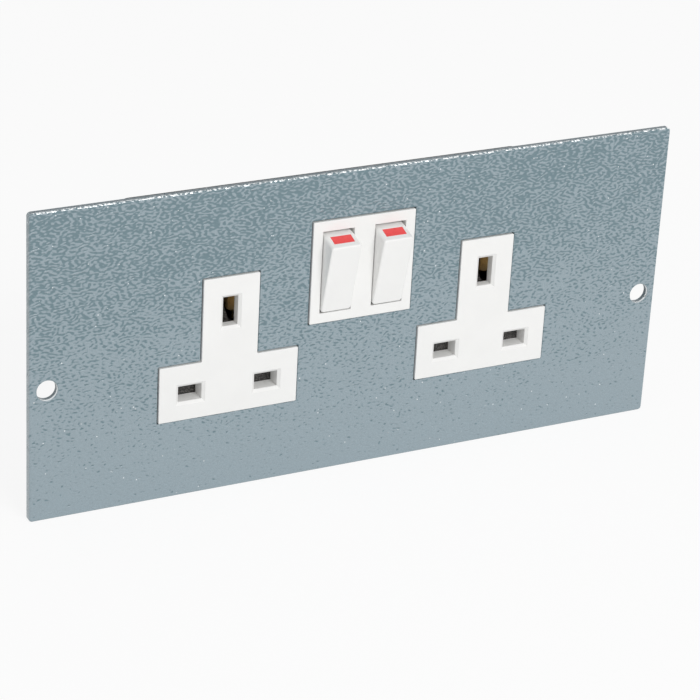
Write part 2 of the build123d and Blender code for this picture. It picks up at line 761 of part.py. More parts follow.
# Brass blocks that take the cable's cores from below, each with its clamping screw
block_front_y = power_strip_y - terminal_size
bore_y = power_strip_y - terminal_size / 2
for name, x in terminal_places.items():
    with BuildPart() as terminal_block:
        with BuildSketch(facing(block_front_y)):
            with Locations((x, terminal_z)):
                Rectangle(terminal_size, terminal_size)
        extrude(amount=-terminal_size)
        chamfer(terminal_block.faces().sort_by(Axis.Z)[0].edges(), terminal_edge)
        with BuildSketch(Plane.XY.offset(terminal_low_z)):
            with Locations((x, bore_y)):
                Circle(terminal_bore_diameter / 2)
        extrude(amount=terminal_size, mode=Mode.SUBTRACT)
        with BuildSketch(facing(power_strip_y)):
            with Locations((x, terminal_z)):
                Circle(terminal_screw_diameter / 2 + thread_clearance)
        extrude(amount=terminal_size / 2, mode=Mode.SUBTRACT)
    save(terminal_block, f"{name}_terminal_block")
    with BuildPart() as terminal_screw:
        with BuildSketch(facing(strip_back_y)):
            with Locations((x, terminal_z)):
                Circle(terminal_head_diameter / 2)
        extrude(amount=-terminal_head_height)
        chamfer(terminal_screw.edges().group_by(Axis.Y)[-1], terminal_head_edge)
        with BuildSketch(facing(strip_back_y)):
            with Locations((x, terminal_z)):
                Circle(terminal_screw_diameter / 2)
        extrude(amount=strip_back_y - bore_y - terminal_bore_diameter / 2)
        with BuildSketch(facing(strip_back_y + terminal_head_height)):
            with Locations((x, terminal_z)):
                Rectangle(terminal_head_diameter, terminal_slot_width)
        extrude(amount=terminal_slot_depth, mode=Mode.SUBTRACT)
    save(terminal_screw, f"{name}_terminal_screw")


# Each switch: rocker, red flash, plunger with its spring, and the contact that it tips over
for name, x in switch_places.items():
    pivot = side(x, rocker_pivot_y, frame_z, rocker_tilt)
    half_width = rocker_opening_width / 2 - rocker_side_gap
    draft = radians(rocker_end_draft)
    # The sloping ends run on into a skirt that is round about the pivot
    swing = rocker_half_length * cos(draft) + rocker_face_reach * sin(draft)
    touch_u, touch_v = -swing * sin(draft), swing * cos(draft)
    skirt_half = sqrt(swing**2 - rocker_skirt_depth**2)
    with BuildPart() as rocker:
        with BuildSketch(pivot):
            with BuildLine():
                low_corner = (-rocker_face_reach, -rocker_half_length)
                nose = Line(low_corner, (-rocker_face_reach, rocker_half_length))
                upper = Line(nose @ 1, (touch_u, touch_v))
                skirt = TangentArc(upper @ 1, (rocker_skirt_depth, skirt_half), tangent=upper % 1)
                back = Line(skirt @ 1, (rocker_skirt_depth, -skirt_half))
                lower = Line(nose @ 0, (touch_u, -touch_v))
                TangentArc(lower @ 1, back @ 1, tangent=lower % 1)
            make_face()
        extrude(amount=half_width, both=True)
        corners = rocker.edges().filter_by(Axis.X, reverse=True)
        fillet(corners.filter_by(Axis(pivot.origin, pivot.y_dir), reverse=True), rocker_corner_radius)
        front = rocker.faces().sort_by(Axis(pivot.origin, pivot.x_dir))[0]
        fillet(front.edges(), rocker_edge_radius)
        with BuildSketch(pivot):
            with Locations(((rocker_skirt_depth - rocker_face_reach + rocker_wall) / 2, 0)):
                Rectangle(
                    rocker_skirt_depth + rocker_face_reach - rocker_wall,
                    2 * (rocker_half_length - rocker_wall),
                )
        extrude(amount=half_width - rocker_wall, both=True, mode=Mode.SUBTRACT)
        with BuildSketch(pivot):
            Circle(trunnion_radius)
        extrude(amount=half_width + trunnion_length, both=True)
        with BuildSketch(across(pivot, rocker_wall - rocker_face_reach)):
            Circle(stem_radius)
        extrude(amount=stem_reach + rocker_face_reach - rocker_wall)
        with BuildSketch(across(pivot, stem_bore_start)):
            Circle(plunger_radius + plunger_clearance)
        extrude(amount=stem_reach - stem_bore_start, mode=Mode.SUBTRACT)
        # A shallow pocket in the top end for the red flash
        with BuildSketch(rocker_end(pivot)):
            with Locations((marker_middle, 0)):
                Rectangle(marker_length, marker_width)
        extrude(amount=-marker_depth, mode=Mode.SUBTRACT)
    save(rocker, f"{name}_rocker")

    with BuildPart() as marker:
        with BuildSketch(rocker_end(pivot)):
            with Locations((marker_middle, 0)):
                Rectangle(marker_length - 2 * marker_gap, marker_width - 2 * marker_gap)
        extrude(amount=-marker_depth)
    save(marker, f"{name}_on_marker")

    with BuildPart() as plunger:
        with BuildSketch(pivot):
            with BuildLine():
                tip_start = (plunger_reach - plunger_tip_radius, plunger_tip_radius)
                Polyline(
                    (plunger_seat, 0),
                    (plunger_seat, plunger_bore_radius),
                    (plunger_back, plunger_bore_radius),
                    (plunger_back, plunger_radius),
                    (plunger_shoulder, plunger_radius),
                    tip_start,
                )
                RadiusArc(tip_start, (plunger_reach, 0), plunger_tip_radius)
                Line((plunger_reach, 0), (plunger_seat, 0))
            make_face()
        revolve(axis=Axis(pivot.origin, pivot.x_dir))
    save(plunger, f"{name}_plunger")

    with BuildPart() as plunger_spring:
        with Locations(across(pivot, stem_bore_start + spring_end_gap)):
            add(
                coil_spring(
                    plunger_seat - stem_bore_start - 2 * spring_end_gap,
                    plunger_bore_radius - plunger_clearance,
                    plunger_spring_turns,
                )
            )
    save(plunger_spring, f"{name}_plunger_spring")

    seesaw_pivot = side(x, seesaw_y, frame_z, -seesaw_tilt)
    front_u = -seesaw_lift - seesaw_dish
    back_u = front_u + seesaw_arm_thickness
    middle_back_u = seesaw_middle_thickness - seesaw_lift
    with BuildPart() as seesaw:
        with BuildSketch(seesaw_pivot):
            with BuildLine():
                Polyline(
                    (front_u, -seesaw_dish_half),
                    (front_u, -seesaw_half_length),
                    (back_u, -seesaw_half_length),
                    (back_u, -seesaw_dish_half - seesaw_bead_radius),
                    (middle_back_u, -seesaw_dish_half),
                    (middle_back_u, seesaw_dish_half),
                    (back_u, seesaw_dish_half + seesaw_bead_radius),
                    (back_u, seesaw_half_length),
                    (front_u, seesaw_half_length),
                    (front_u, seesaw_dish_half),
                )
                ThreePointArc((front_u, seesaw_dish_half), (-seesaw_lift, 0), (front_u, -seesaw_dish_half))
            make_face()
        extrude(amount=seesaw_width / 2, both=True)
        with BuildSketch(seesaw_pivot):
            Circle(seesaw_bead_radius)
        extrude(amount=seesaw_bead_length / 2, both=True)
    save(seesaw, f"{name}_rocking_contact")

    with BuildPart() as moving_tip:
        with BuildSketch(across(seesaw_pivot, back_u)):
            with Locations((0, -tip_offset)):
                Circle(tip_radius)
        extrude(amount=tip_height)
        chamfer(moving_tip.faces().sort_by(Axis.Y)[-1].edges(), tip_edge)
    save(moving_tip, f"{name}_moving_tip")

# Each socket: the shutter over its power slots, with the ramp that the earth pin pushes down
shutter_front_y = face_wall + shutter_gap
shutter_back_y = shutter_front_y + shutter_thickness
shutter_half = pin_pitch / 2 + power_slot_width / 2 + shutter_overhang
for name, x in socket_places.items():
    with BuildPart() as shutter:
        with BuildSketch(facing(shutter_front_y)):
            bar(x - shutter_half, x + shutter_half, shutter_low_z, shutter_low_z + shutter_bar_height)
            arm_half = shutter_arm_width / 2
            bar(x - arm_half, x + arm_half, pin_line_z, pin_line_z + shutter_arm_reach)
        extrude(amount=-shutter_thickness)
        with BuildSketch(side(x, 0, pin_line_z)):
            Polygon(
                (shutter_front_y, ramp_root),
                (shutter_front_y, ramp_low),
                (ramp_start_y, ramp_low),
                (ramp_end_y, ramp_high),
                (ramp_end_y, ramp_high - shutter_thickness),
                (shutter_back_y, ramp_root),
                align=None,
            )
        extrude(amount=ramp_width / 2, both=True)
    save(shutter, f"{name}_shutter")

    with BuildPart() as shutter_spring:
        with Locations((x, (shutter_front_y + shutter_back_y) / 2, housing_floor_z + spring_end_gap)):
            add(
                coil_spring(
                    shutter_low_z - housing_floor_z - 2 * spring_end_gap,
                    shutter_spring_radius,
                    shutter_spring_turns,
                )
            )
    save(shutter_spring, f"{name}_shutter_spring")
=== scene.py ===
"""Finishes, hardware and studio for a floor box socket module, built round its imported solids."""
import json
import math

import bpy
from bpy.props import FloatProperty, FloatVectorProperty, IntProperty, PointerProperty
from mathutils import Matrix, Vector


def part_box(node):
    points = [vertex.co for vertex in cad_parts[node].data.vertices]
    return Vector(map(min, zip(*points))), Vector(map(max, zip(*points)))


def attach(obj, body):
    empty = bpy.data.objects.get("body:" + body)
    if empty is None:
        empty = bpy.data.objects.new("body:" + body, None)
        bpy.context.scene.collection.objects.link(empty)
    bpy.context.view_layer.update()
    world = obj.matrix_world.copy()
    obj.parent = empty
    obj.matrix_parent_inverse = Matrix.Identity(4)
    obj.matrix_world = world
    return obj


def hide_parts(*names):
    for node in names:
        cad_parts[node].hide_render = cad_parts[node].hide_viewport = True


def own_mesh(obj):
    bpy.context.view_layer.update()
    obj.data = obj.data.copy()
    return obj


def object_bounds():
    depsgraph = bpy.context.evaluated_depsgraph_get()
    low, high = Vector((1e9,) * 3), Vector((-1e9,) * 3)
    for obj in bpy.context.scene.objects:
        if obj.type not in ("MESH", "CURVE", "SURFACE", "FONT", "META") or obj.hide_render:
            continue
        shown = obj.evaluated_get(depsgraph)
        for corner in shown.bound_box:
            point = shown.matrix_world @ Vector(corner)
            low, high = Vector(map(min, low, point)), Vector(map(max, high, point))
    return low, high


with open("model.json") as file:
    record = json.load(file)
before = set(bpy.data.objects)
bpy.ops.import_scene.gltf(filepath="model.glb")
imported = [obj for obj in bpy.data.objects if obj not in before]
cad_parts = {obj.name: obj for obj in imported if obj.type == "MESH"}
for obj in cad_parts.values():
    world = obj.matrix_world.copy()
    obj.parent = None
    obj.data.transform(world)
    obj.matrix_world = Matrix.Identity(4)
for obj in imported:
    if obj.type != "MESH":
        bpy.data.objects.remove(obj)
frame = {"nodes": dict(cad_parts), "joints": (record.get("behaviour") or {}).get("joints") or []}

bl_info = {
    "name": "Floor box socket module",
    "version": (1, 0, 0),
    "blender": (4, 5, 0),
    "location": "3D View > Sidebar > Socket",
    "description": "Hammered plate, white mouldings, brass and hardware of a twin switched socket",
    "category": "Add Mesh",
}

MM = 0.001
SIDES = ("left", "right")
POLES = ("neutral", "earth", "live")
REARWARDS = -math.pi / 2
WHITE = (1, 1, 1, 1)
CAD_LOW, CAD_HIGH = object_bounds()

# Meshes: sides of what is turned, and where two corners or heights count as one
HEAD_SIDES = 48
CORE_SIDES = 32
WIRE_SIDES = 10
RIB_SIDES = 4
STEPS_PER_TURN = 24
SAME_HEIGHT = 0.02 * MM
SAME_CORNER = 0.001 * MM
SMOOTH_BELOW = math.radians(32)

# How squarely a flat end faces its axis, and half of a nut's side as seen from its axis
UPRIGHT = 0.9
HALF_FLAT = math.pi / 6

# Threads and springs: half of a rib's width against the pitch, and a closed turn against the wire
RIB_SHARE = 0.42
CLOSED_TURN = 1.04

# Hammer pattern: waves in one unit of the texture, and the heights between which its masks rise
WAVES = 1.2
CREST_HEIGHTS = (0.46, 0.62)
SWELL_HEIGHTS = (0.1, 0.95)
SPARK_PLACES = (0.64, 0.70)
SPARK_SIZE = (0.08, 0.16)
# Where the painted highlight along the top edge breaks
GLINT_BREAKS = (0.47, 0.55)

# The plate's cut edges, in millimetres: depths from its front, middle and back, and from its ends
FRONT_SKIN = (0.05, 0.25)
BACK_SKIN = (0.02, 0.1)
END_SKIN = (1.0, 0.3)
# Where the painted shade on the cut edges rises, and where the painted glints on the rim and in the
# bores fade
DARK_RISE = 0.3
GLINT_FADE = (0.1, 0.4)
BORE_FADE = (0.1, 0.3)

# Share of the painted bright bore's area that is fully bright, and how much the floor's white
# varies
BORE_FULL = 0.8
FLOOR_MOTTLE = 0.01


def length(name, text, millimetres):
    """A size that a user can change, kept in metres."""
    return FloatProperty(
        name=name, description=text, default=millimetres * MM, unit="LENGTH", precision=5
    )


def portion(name, text, value):
    """A share that a user can change."""
    return FloatProperty(
        name=name, description=text, default=value,
        subtype="FACTOR", min=0, soft_max=1, precision=3,
    )


def count(name, text, value):
    """A whole number that a user can change."""
    return IntProperty(name=name, description=text, default=value, subtype="UNSIGNED", min=1)


def angle(name, text, degrees):
    """An angle that a user can change, kept in radians."""
    return FloatProperty(
        name=name, description=text, default=math.radians(degrees), subtype="ANGLE"
    )


def place(name, text, metres):
    """A place that a user can change."""
    return FloatVectorProperty(
        name=name, description=text, default=metres,
        subtype="TRANSLATION", unit="LENGTH", precision=5,
    )


def colour(name, text, red, green, blue):
    """A colour that a user can change, in linear light."""
    return FloatVectorProperty(
        name=name, description=text, default=(red, green, blue),
        subtype="COLOR", size=3, min=0, max=1,
    )


class EnamelSettings(bpy.types.PropertyGroup):
    """The plate's hammered stove enamel."""

    ground: colour("Ground", "Enamel in the hollows of the hammer pattern", 0.146, 0.220, 0.250)
    crest: colour("Crest", "Enamel on the worm-like crests", 0.294, 0.364, 0.402)
    # Spark colours the enamel's metal flakes, and also the painted highlights on the rim, in the
    # fixing holes and on the end faces
    spark: colour("Spark", "Flecks, and glints on the rim and in the holes", 0.88, 0.91, 0.92)
    # Painted shade: the rear half of the plate's cut edges, round the windows and along the top, is
    # darkened towards this colour
    edge: colour("Edge", "Thin enamel on the cut edges", 0.085, 0.115, 0.135)
    spacing: length("Crest spacing", "Distance from one crest to the next, up the plate", 0.95)
    stretch: FloatProperty(
        name="Stretch", description="How much longer the crests run along the plate",
        default=1.9, subtype="UNSIGNED", min=1,
    )
    wander: length("Wander", "How far the crests are drawn aside", 0.8)
    # Calm and its onset raise the pattern towards the lower edge: the relief flattens there, and
    # the colour turns lighter as a painted reflection.
    calm: portion("Calm", "How far the pattern fades towards the lower edge", 0.24)
    onset: portion("Calm onset", "How early that fading begins below the upper edge", 0.4)
    patches: portion("Patches", "How much the pattern differs from place to place", 0.1)
    clumps: portion("Clumps", "How much the crests gather in clumps", 0.24)
    relief: length("Relief", "How far the crests stand above the hollows", 0.18)
    # Strength of that painted shade on the cut edges
    darkness: portion("Edge darkness", "How dark the rear half of the cut edges is", 0.7)
    # Painted highlights: a broken line of bright metal along the top edge, bright bores in the
    # fixing holes and faintly brighter end faces
    glint: length("Glint", "Depth of the bright broken line along the top edge", 0.32)
    hole_inset: length("Hole inset", "Distance of the fixing holes from the plate's ends", 5)
    hole_reach: length("Hole reach", "How far round a fixing hole's axis its bright bore goes", 3.4)
    hole_shine: portion("Hole shine", "How bright the fixing holes' front rims are", 0.8)
    end_shine: portion("End shine", "How bright the plate's end faces are", 0.15)


class PlasticSettings(bpy.types.PropertyGroup):
    """The moulded pieces."""

    moulding: colour("Moulding", "Front moulding round the pin slots", 0.875, 0.872, 0.858)
    rocker: colour("Rocker", "Switch rockers", 0.885, 0.882, 0.868)
    marker: colour("Marker", "Flash that shows a switch is on", 0.93, 0.075, 0.075)
    shutter: colour("Shutter", "Shutters behind the pin slots", 0.025, 0.0235, 0.022)
    tray: colour("Tray", "Tray that closes the moulding behind", 0.022, 0.022, 0.024)
    plunger: colour("Plunger", "Nylon plungers inside the rockers", 0.80, 0.77, 0.68)


class MetalSettings(bpy.types.PropertyGroup):
    """Brass, copper, silver and plated steel, each with what it turns to in places."""

    brass: colour("Strip brass", "Clips and strips", 0.80, 0.61, 0.33)
    brass_tarnish: colour("Strip tarnish", "Dull places on the strips", 0.56, 0.41, 0.21)
    terminal: colour("Terminal brass", "Terminal blocks", 0.70, 0.50, 0.22)
    terminal_tarnish: colour("Terminal tarnish", "Dull places on the blocks", 0.42, 0.28, 0.11)
    copper: colour("Copper", "Strap that bonds the plate", 0.80, 0.40, 0.26)
    copper_tarnish: colour("Copper tarnish", "Dull places on the strap", 0.36, 0.15, 0.09)
    silver: colour("Silver", "Contact tips", 0.86, 0.85, 0.82)
    silver_cast: colour("Silver cast", "Warmer places on the contact tips", 0.72, 0.68, 0.60)
    zinc: colour("Zinc", "Plated screws, studs, nuts and washers", 0.62, 0.64, 0.66)
    washer_cast: colour("Washer cast", "Bluer places on the washers", 0.56, 0.60, 0.68)
    stud_cast: colour("Stud cast", "Greyer places on the studs", 0.58, 0.60, 0.62)
    nut_cast: colour("Nut cast", "Bluer places on the nuts", 0.58, 0.62, 0.70)
    screw_cast: colour("Screw cast", "Yellower places on the housing screws", 0.66, 0.62, 0.50)
    clamp_cast: colour("Clamp cast", "Greyer places on the terminal screws", 0.60, 0.62, 0.66)
    spring: colour("Spring wire", "Springs", 0.46, 0.47, 0.49)
    spring_cast: colour("Spring cast", "Darker places on the springs", 0.36, 0.36, 0.38)


class HardwareSettings(bpy.types.PropertyGroup):
    """Threads, heads and springs that are modelled here."""

    stud_radius: length("Stud radius", "Outer radius of the plate's studs", 2.0)
    stud_pitch: length("Stud pitch", "Thread pitch of the plate's studs", 0.7)
    stud_thread: length("Stud thread", "Depth of the studs' thread", 0.38)
    weld_radius: length("Weld radius", "Reach of the weld flash round a stud", 2.15)
    weld_height: length("Weld height", "Height of the weld flash", 0.35)
    weld_round: length("Weld round", "Rounding of the weld flash's rim", 0.245)
    nut_flats: length("Nut flats", "Nut across its flats", 7.0)
    nut_height: length("Nut height", "Height of a nut", 3.2)
    nut_bevel: length("Nut bevel", "Height of the bevel at a nut's corners", 0.32)
    head_radius: length("Head radius", "Radius of the housing screws' heads", 2.8)
    head_height: length("Head height", "Height of the housing screws' heads", 1.8)
    head_round: length("Head round", "Rounding of the heads' rims", 0.9)
    shank_radius: length("Shank radius", "Outer radius of the housing screws' thread", 1.45)
    shank_pitch: length("Shank pitch", "Thread pitch of the housing screws", 1.1)
    shank_thread: length("Shank thread", "Depth of the housing screws' thread", 0.4)
    shank_point: portion("Shank point", "Share of a shank's width that its tip keeps", 0.3)
    cross_span: length("Cross span", "Span of the cross recess at its mouth", 3.2)
    cross_width: length("Cross width", "Width of each arm of the cross", 0.8)
    cross_depth: length("Cross depth", "Depth of the cross recess", 1.2)
    cross_taper: portion("Cross taper", "Share of the cross's span left where its tool ends", 0.35)
    clamp_radius: length("Clamp radius", "Radius of the terminal screws' heads", 2.8)
    clamp_head: length("Clamp head", "Height of the terminal screws' heads", 2.0)
    clamp_shank: length("Clamp shank", "Outer radius of the terminal screws' thread", 1.5)
    clamp_pitch: length("Clamp pitch", "Thread pitch of the terminal screws", 0.5)
    clamp_thread: length("Clamp thread", "Depth of the terminal screws' thread", 0.27)
    clamp_turn: angle("Clamp turn", "How far the first terminal screw's slot is turned", 20)
    clamp_next: angle("Next clamp turn", "How much further each next slot is turned", 55)
    slot_width: length("Slot width", "Width of a terminal screw's slot", 0.8)
    slot_depth: length("Slot depth", "Depth of a terminal screw's slot", 0.9)
    wire: length("Spring wire", "Diameter of the springs' wire", 0.3)
    plunger_turns: count("Plunger spring turns", "Open turns of a plunger's spring", 6)
    plunger_radius: length("Plunger spring radius", "Outer radius of a plunger's spring", 1.2)
    plunger_reach: length("Plunger spring reach", "Fitted length of a plunger's spring", 9.4)
    shutter_turns: count("Shutter spring turns", "Open turns of a shutter's spring", 4)


class StudioSettings(bpy.types.PropertyGroup):
    """Camera, floor and lights."""

    camera_place: place("Camera place", "Where the camera stands", (-0.31507, -0.59746, 0.31416))
    camera_turn: FloatVectorProperty(
        name="Camera turn", description="The camera's Euler angles",
        default=[math.radians(a) for a in (64.740, -2.861, -26.361)], subtype="EULER",
    )
    lens: FloatProperty(
        name="Lens", description="Focal length on a 36 mm sensor", default=140.19, unit="CAMERA"
    )
    near: length("Near limit", "Nearest distance that the camera shows", 10)
    floor_size: length("Floor size", "Length of the floor's sides", 6000)
    floor: colour("Floor", "The floor's colour", 0.95, 0.95, 0.95)
    glow: portion("Glow", "Share of the floor's white that shadows don't reach", 0.88)
    sky: portion("Sky", "Level of the light from all round", 0.5)
    key_place: place("Key place", "Where the soft lamp hangs", (0.12, -1.34, 0.87))
    key_width: length("Key width", "Width of the soft lamp", 700)
    key_depth: length("Key depth", "Depth of the soft lamp", 500)
    key: FloatProperty(
        name="Key", description="Power of the soft lamp", default=12.5, unit="POWER"
    )


class Signal:
    """A node's output, on which Python's arithmetic adds Math nodes."""

    def __init__(self, finish, socket):
        self.finish = finish
        self.socket = socket

    def maths(self, operation, *values):
        """Add a Math node with these values or signals."""
        sockets = dict(enumerate(values))
        return self.finish.node("ShaderNodeMath", {"operation": operation}, sockets)

    def __add__(self, other):
        return self.maths("ADD", self, other)

    def __radd__(self, other):
        return self.maths("ADD", other, self)

    def __sub__(self, other):
        return self.maths("SUBTRACT", self, other)

    def __rsub__(self, other):
        return self.maths("SUBTRACT", other, self)

    def __mul__(self, other):
        return self.maths("MULTIPLY", self, other)

    def __truediv__(self, other):
        return self.maths("DIVIDE", self, other)

    def __abs__(self):
        return self.maths("ABSOLUTE", self)

    def clamp(self):
        """The signal kept between 0 and 1."""
        return self.maths("MINIMUM", self.maths("MAXIMUM", self, 0.0), 1.0)

    def swing(self, amount):
        """What a signal between 0 and 1 adds to a value when it swings it by an amount in all."""
        return (self - 0.5) * amount


class Finish:
    """A procedural finish: one Principled shader and the nodes that feed it."""

    def __init__(self, name, constants, world=None):
        self.material = world or bpy.data.materials.new(name)
        self.material.use_nodes = True
        self.tree = self.material.node_tree
        if not world:
            self.shader = self.tree.nodes["Principled BSDF"]
            for socket, value in constants.items():
                self.shader.inputs[socket].default_value = value

    def node(self, kind, settings=None, inputs=None, output=0):
        """Add a node: its settings first, then the values or links of its sockets."""
        made = self.tree.nodes.new(kind)
        for name, value in (settings or {}).items():
            setattr(made, name, value)
        for socket, value in (inputs or {}).items():
            if isinstance(value, Signal):
                self.tree.links.new(value.socket, made.inputs[socket])
            else:
                made.inputs[socket].default_value = value
        return Signal(self, made.outputs[output])

    def feed(self, socket, signal):
        """Link a signal to an input of the Principled shader."""
        self.tree.links.new(signal.socket, self.shader.inputs[socket])

    def surface(self, signal):
        """Show a shader other than the Principled one."""
        shown = next(n for n in self.tree.nodes if n.bl_idname.startswith("ShaderNodeOutput"))
        self.tree.links.new(signal.socket, shown.inputs["Surface"])

    def point(self, stretch=(1, 1, 1)):
        """The place on the piece in millimetres, with each axis shortened by its stretch."""
        spot = self.node("ShaderNodeTexCoord", output="Object")
        scale = [1 / (MM * s) for s in stretch]
        return self.node("ShaderNodeVectorMath", {"operation": "MULTIPLY"}, {0: spot, 1: scale})

    def axes(self, point):
        """A point's three coordinates."""
        split = self.node("ShaderNodeSeparateXYZ", None, {0: point}).socket.node
        return [Signal(self, out) for out in split.outputs]

    def noise(self, point, scale, detail=2.0, roughness=0.5):
        """Soft noise between 0 and 1."""
        sockets = {"Vector": point, "Scale": scale, "Detail": detail, "Roughness": roughness}
        return self.node("ShaderNodeTexNoise", None, sockets, "Fac")

    def cells(self, point, scale):
        """Distance to the nearest of many scattered points."""
        sockets = {"Vector": point, "Scale": scale}
        return self.node("ShaderNodeTexVoronoi", None, sockets, "Distance")

    def step(self, value, low, high):
        """0 below low, 1 above high and smooth between them."""
        sockets = {"Value": value, "From Min": low, "From Max": high}
        return self.node("ShaderNodeMapRange", {"interpolation_type": "SMOOTHSTEP"}, sockets)

    def mix(self, share, first, second):
        """Two colours, or colour signals, mixed by a share."""
        pair = [c if isinstance(c, Signal) else (*c, 1) for c in (first, second)]
        sockets = {0: share, 6: pair[0], 7: pair[1]}
        return self.node("ShaderNodeMix", {"data_type": "RGBA"}, sockets, 2)

    def bump(self, height, distance):
        """Feed a relief whose full height is a distance in metres."""
        sockets = {"Height": height, "Distance": distance}
        self.feed("Normal", self.node("ShaderNodeBump", None, sockets, "Normal"))

    def direct_rays(self):
        """1 for what the camera sees, also in gloss and through glass, and 0 for stray light."""
        ray = self.node("ShaderNodeLightPath").socket.node
        kinds = ("Camera", "Glossy", "Transmission")
        seen = [Signal(self, ray.outputs[f"Is {kind} Ray"]) for kind in kinds]
        return (seen[0] + seen[1] + seen[2]).clamp()


def shade(rgb, factor):
    """A colour made lighter or darker."""
    return tuple(min(1.0, c * factor) for c in rgb)


def hammer_pattern(finish, point, s):
    """Height of the worm-like crests, which wander and rise towards the lower edge: that flattens
    the relief there and, as a painted reflection, lightens the colour.
    """
    x, y, z = finish.axes(point)
    low, high = (corner.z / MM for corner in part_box("faceplate"))
    spacing = s.spacing * WAVES / MM
    drift = finish.noise(point, scale=0.3).swing(2 * s.wander / MM)
    across = (x + y + drift) / (s.stretch * spacing)
    up = (z + y - drift) / spacing
    flat = finish.node("ShaderNodeCombineXYZ", None, {0: across, 1: up})
    sockets = {"Vector": flat, "Scale": 1.0, "Frequency": WAVES, "Anisotropy": 0.0}
    worms = finish.node("ShaderNodeTexGabor", {"gabor_type": "2D"}, sockets, "Value")
    fall = (1.0 - (z - low) / (high - low)).clamp()
    patch = finish.noise(point, scale=0.05)
    clump = finish.noise(finish.point(stretch=(1.8, 1.8, 1)), scale=0.4)
    # The rise towards the lower edge flattens the relief and paints a reflection into the colour;
    # patches and clumps vary at random.
    calm = fall * (fall + s.onset) * s.calm + patch.swing(s.patches) + clump.swing(s.clumps)
    return worms + calm


def plate_edges(finish, point, s):
    """Masks of the painted shade on the cut edges' rear half, and of the painted glints on the rim,
    bores and ends.
    """
    x, y, z = finish.axes(point)
    right, back, high = (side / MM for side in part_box("faceplate")[1])
    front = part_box("faceplate")[0].y / MM
    middle = (front + back) / 2
    inset, reach, glint = s.hole_inset / MM, s.hole_reach / MM, s.glint / MM
    inside = finish.step(y, *(front + depth for depth in FRONT_SKIN))
    inside = inside * finish.step(back - y, *BACK_SKIN)
    aside = abs(x) - (right - inset)
    # The end faces are spared the painted shade and get a faint painted highlight
    ends = finish.step(aside, *(inset - depth for depth in END_SKIN)) * inside
    # Painted shade on the rear half of the cut edges, left off the end faces
    dark = finish.step(y, middle - DARK_RISE, middle) * inside * (1.0 - ends)
    # Painted highlight: a broken line of bright metal along the front of the top edge, where the
    # light from above catches it
    rim = finish.step(z, high - glint, high - glint / 2) * finish.step(middle - y, *GLINT_FADE)
    rim = rim * finish.step(finish.noise(point, scale=1.3), *GLINT_BREAKS)
    # Painted highlight: the front half of each fixing hole's bore is bright metal
    bore = 1.0 - finish.step(aside * aside + z * z, BORE_FULL * reach * reach, reach * reach)
    bore = bore * inside * finish.step(middle - y, *BORE_FADE)
    return dark, bore * s.hole_shine + ends * s.end_shine + rim


def hammered_enamel(s):
    """Stove enamel that has drawn into worm-like crests, calmer and, as a painted reflection,
    lighter towards the lower edge.
    """
    finish = Finish("hammered_enamel", {"IOR": 1.5})
    point = finish.point()
    pattern = hammer_pattern(finish, point, s)
    crest = finish.step(pattern, *CREST_HEIGHTS)
    swell = finish.step(pattern, *SWELL_HEIGHTS)
    grain = finish.noise(point, scale=3.2)
    enamel = finish.mix((crest + grain.swing(0.2)).clamp(), s.ground, s.crest)
    rare = finish.noise(point, scale=0.6, detail=0.0)
    flecks = finish.cells(point, scale=0.7)
    spark = finish.step(rare, *SPARK_PLACES) * (1.0 - finish.step(flecks, *SPARK_SIZE))
    # Painted shade on the cut edges, and painted highlights on the rim, in the bores and on the end
    # faces
    dark, shine = plate_edges(finish, point, s)
    enamel = finish.mix(dark * s.darkness, enamel, s.edge)
    # The metal flakes lie at random; the rest of this mask is painted highlight
    flakes_and_painted_glint = (spark + shine).clamp()
    finish.feed("Base Color", finish.mix(flakes_and_painted_glint, enamel, s.spark))
    finish.feed("Metallic", flakes_and_painted_glint)
    finish.feed("Roughness", 0.26 + grain * 0.10 - crest * 0.04)
    finish.bump(swell + grain * 0.08, s.relief)
    return finish.material


def moulded_plastic(name, rgb, rough, grain=0.004, mottle=0.03):
    """Compression-moulded plastic with the faint bloom and grain that the mould leaves."""
    finish = Finish(name, {"IOR": 1.5})
    point = finish.point()
    bloom = finish.noise(point, scale=0.12, detail=3.0)
    tooth = finish.noise(point, scale=5.5, roughness=0.6)
    finish.feed("Base Color", finish.mix(bloom, shade(rgb, 1 - mottle), shade(rgb, 1 + mottle)))
    finish.feed("Roughness", rough + bloom.swing(0.08) + tooth.swing(0.06))
    finish.bump(tooth + bloom * 0.5, grain * MM)
    return finish.material


def spark_eroded_plastic(name, rgb, contrast=2.1):
    """Matt dark plastic with the coarse speckle of a spark-eroded mould."""
    finish = Finish(name, {"IOR": 1.48})
    point = finish.point()
    speckle = finish.noise(point, scale=2.4, detail=3.0, roughness=0.75)
    bloom = finish.noise(point, scale=0.3)
    share = (finish.step(speckle, 0.44, 0.62) * (0.55 + bloom * 0.6)).clamp()
    finish.feed("Base Color", finish.mix(share, shade(rgb, 0.55), shade(rgb, contrast)))
    finish.feed("Roughness", 0.52 + speckle * 0.24)
    finish.bump(speckle, 0.03 * MM)
    return finish.material


def gloss_flash(name, rgb):
    """The red flash: a glossy insert with a slightly uneven surface."""
    finish = Finish(name, {"IOR": 1.5})
    ripple = finish.noise(finish.point(), scale=1.4)
    finish.feed("Base Color", finish.mix(ripple, shade(rgb, 0.9), shade(rgb, 1.05)))
    finish.feed("Roughness", 0.24 + ripple * 0.14)
    finish.bump(ripple, 0.012 * MM)
    return finish.material


